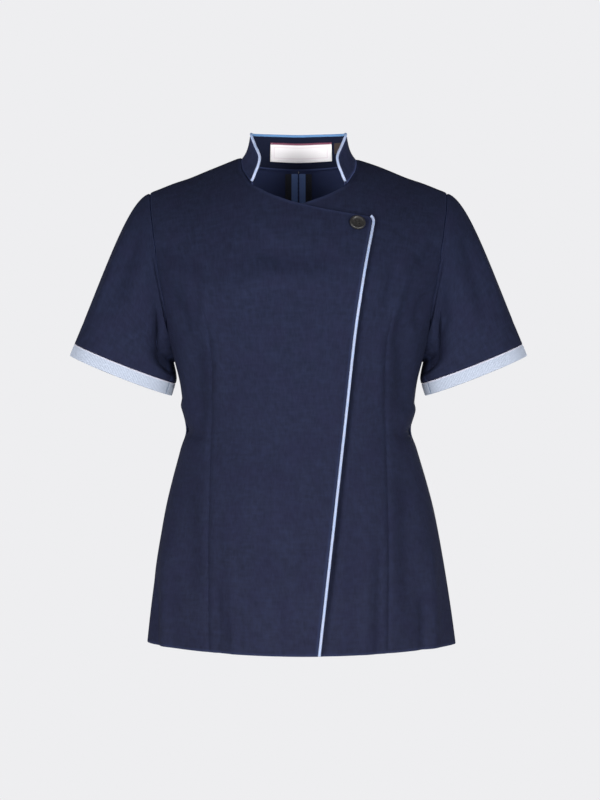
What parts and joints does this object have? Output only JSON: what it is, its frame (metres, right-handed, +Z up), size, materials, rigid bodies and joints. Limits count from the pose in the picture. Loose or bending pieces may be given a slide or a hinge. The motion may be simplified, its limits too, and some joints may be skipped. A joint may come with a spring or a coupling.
{
  "type": "housekeeping blouse",
  "caption": "Short-sleeved navy work blouse, waisted, with a wrap front, stand collar, light blue piping and cuffs, shown hollow as if worn.",
  "frame": {"origin": "midway between the shoulders, level with the middle of the shoulder seams, where the wearer's shoulders hold the blouse", "axes": "+X towards the wearer's left, +Y towards the wearer's back, +Z up; the front faces -Y"},
  "size_m": [0.5938, 0.2435, 0.6716],
  "materials": {
    "navy_cloth": "matte twill",
    "light_blue_cloth": "fine rib",
    "piping": "plain woven",
    "label": "woven satin",
    "tab": "woven",
    "button": "moulded, half gloss"
  },
  "bodies": {
    "root": {"front_right": "navy_cloth", "front_left": "navy_cloth", "back_right": "navy_cloth", "back_left": "navy_cloth", "sleeve_right": "navy_cloth", "sleeve_left": "navy_cloth", "collar": "navy_cloth", "cuff_right": "light_blue_cloth", "cuff_left": "light_blue_cloth", "collar_piping": "piping", "front_piping": "piping", "neck_label": "label", "size_tab": "tab", "button": "button"}
  },
  "joints": []
}
